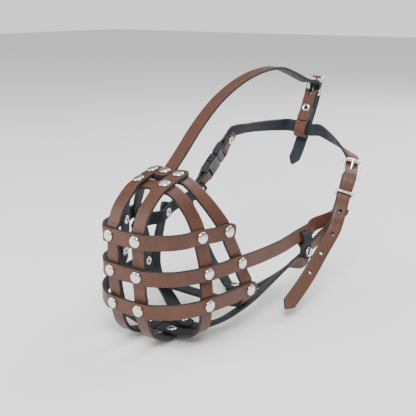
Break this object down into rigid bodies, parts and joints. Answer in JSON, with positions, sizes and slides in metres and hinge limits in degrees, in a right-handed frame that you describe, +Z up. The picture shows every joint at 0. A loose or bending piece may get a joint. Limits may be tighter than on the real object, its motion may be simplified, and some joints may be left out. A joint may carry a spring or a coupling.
{
  "type": "basket muzzle",
  "caption": "Riveted leather basket muzzle for a large dog, with a buckled neck strap, a side-release buckle and a buckled forehead strap.",
  "frame": {"origin": "centre of the bounding box in X and Y, at the level of the lowest rivet caps", "axes": "+Z up, nose of the basket towards -Y, +X towards the dog's left"},
  "size_m": [0.16, 0.3346, 0.2391],
  "materials": {
    "brown_leather": "smooth grain outside, dark flesh side and edges",
    "polished_nickel": "polished nickel plate",
    "black_plastic": "moulded, fine satin"
  },
  "bodies": {
    "harness": {"front_strap_left": "brown_leather", "front_strap_right": "brown_leather", "front_hoop": "brown_leather", "rear_hoop": "brown_leather", "upper_band": "brown_leather", "middle_band_and_cheek_strap": "brown_leather", "lower_band": "brown_leather", "cheek_strap_right": "brown_leather", "lower_cheek_strap_left": "brown_leather", "lower_cheek_strap_right": "brown_leather", "throat_strap_left": "brown_leather", "throat_strap_right": "brown_leather", "neck_strap": "brown_leather", "forehead_tab": "brown_leather", "forehead_strap": "brown_leather", "neck_buckle_frame": "polished_nickel", "forehead_buckle_frame": "polished_nickel", "clip_socket": "black_plastic", "clip_plug": "black_plastic", "upper_band_rivet_1": "polished_nickel", "upper_band_rivet_2": "polished_nickel", "upper_band_rivet_3": "polished_nickel", "upper_band_rivet_4": "polished_nickel", "upper_band_rivet_5": "polished_nickel", "upper_band_rivet_6": "polished_nickel", "middle_band_rivet_1": "polished_nickel", "middle_band_rivet_2": "polished_nickel", "middle_band_rivet_3": "polished_nickel", "middle_band_rivet_4": "polished_nickel", "middle_band_rivet_5": "polished_nickel", "lower_band_rivet_1": "polished_nickel", "lower_band_rivet_2": "polished_nickel", "lower_band_rivet_3": "polished_nickel", "lower_band_rivet_4": "polished_nickel", "lower_band_rivet_5": "polished_nickel", "lower_band_rivet_6": "polished_nickel", "bridge_rivet_1": "polished_nickel", "bridge_rivet_2": "polished_nickel", "bridge_rivet_3": "polished_nickel", "bridge_rivet_4": "polished_nickel", "forehead_rivet": "polished_nickel", "jaw_front_rivet_1": "polished_nickel", "jaw_front_rivet_2": "polished_nickel", "jaw_cross_rivet": "polished_nickel", "jaw_rear_rivet": "polished_nickel", "throat_rivet": "polished_nickel", "far_cheek_start_rivet": "polished_nickel", "far_cheek_cross_rivet": "polished_nickel", "socket_fold_rivet": "polished_nickel", "plug_fold_rivet": "polished_nickel", "slit_loop_rivet": "polished_nickel", "neck_buckle_fold_rivet": "polished_nickel", "tab_rivet": "polished_nickel"},
    "neck_roller": {"neck_buckle_roller": "polished_nickel"},
    "neck_tongue": {"neck_buckle_tongue": "polished_nickel"},
    "keeper": {"keeper_ring": "polished_nickel"},
    "forehead_roller": {"forehead_buckle_roller": "polished_nickel"},
    "forehead_tongue": {"forehead_buckle_tongue": "polished_nickel"},
    "clip_front_arm": {"clip_arm_front": "black_plastic"},
    "clip_rear_arm": {"clip_arm_rear": "black_plastic"}
  },
  "joints": [
    {"name": "neck_roller_spin", "type": "hinge", "parent": "harness", "child": "neck_roller", "pos_m": [0.06456, 0.13135, 0.1353], "axis": [0.8336, 0.4736, -0.2842], "continuous": true},
    {"name": "neck_tongue_lift", "type": "hinge", "parent": "harness", "child": "neck_tongue", "pos_m": [0.06561, 0.11923, 0.11818], "axis": [0.8336, 0.4736, -0.2842], "range_deg": [0, 6]},
    {"name": "keeper_slide", "type": "slide", "parent": "harness", "child": "keeper", "axis": [0.05, -0.5771, -0.8151], "range_m": [0, 0.004]},
    {"name": "forehead_roller_spin", "type": "hinge", "parent": "harness", "child": "forehead_roller", "pos_m": [-0.00219, 0.16192, 0.22301], "axis": [-0.988, -0.0833, 0.1303], "continuous": true},
    {"name": "forehead_tongue_lift", "type": "hinge", "parent": "harness", "child": "forehead_tongue", "pos_m": [-0.00429, 0.15563, 0.20308], "axis": [-0.988, -0.0833, 0.1303], "range_deg": [0, 6]},
    {"name": "clip_front_arm_squeeze", "type": "hinge", "parent": "harness", "child": "clip_front_arm", "pos_m": [-0.05199, 0.03059, 0.14627], "axis": [0.9694, 0.0695, -0.2356], "range_deg": [0, 8], "stiffness_Nm_per_rad": 0.4},
    {"name": "clip_rear_arm_squeeze", "type": "hinge", "parent": "harness", "child": "clip_rear_arm", "pos_m": [-0.05494, 0.04038, 0.137], "axis": [-0.9694, -0.0695, 0.2356], "range_deg": [0, 8], "stiffness_Nm_per_rad": 0.4}
  ],
  "couplings": [
    {"joint": "clip_rear_arm_squeeze", "follows": "clip_front_arm_squeeze", "ratio": 1}
  ]
}
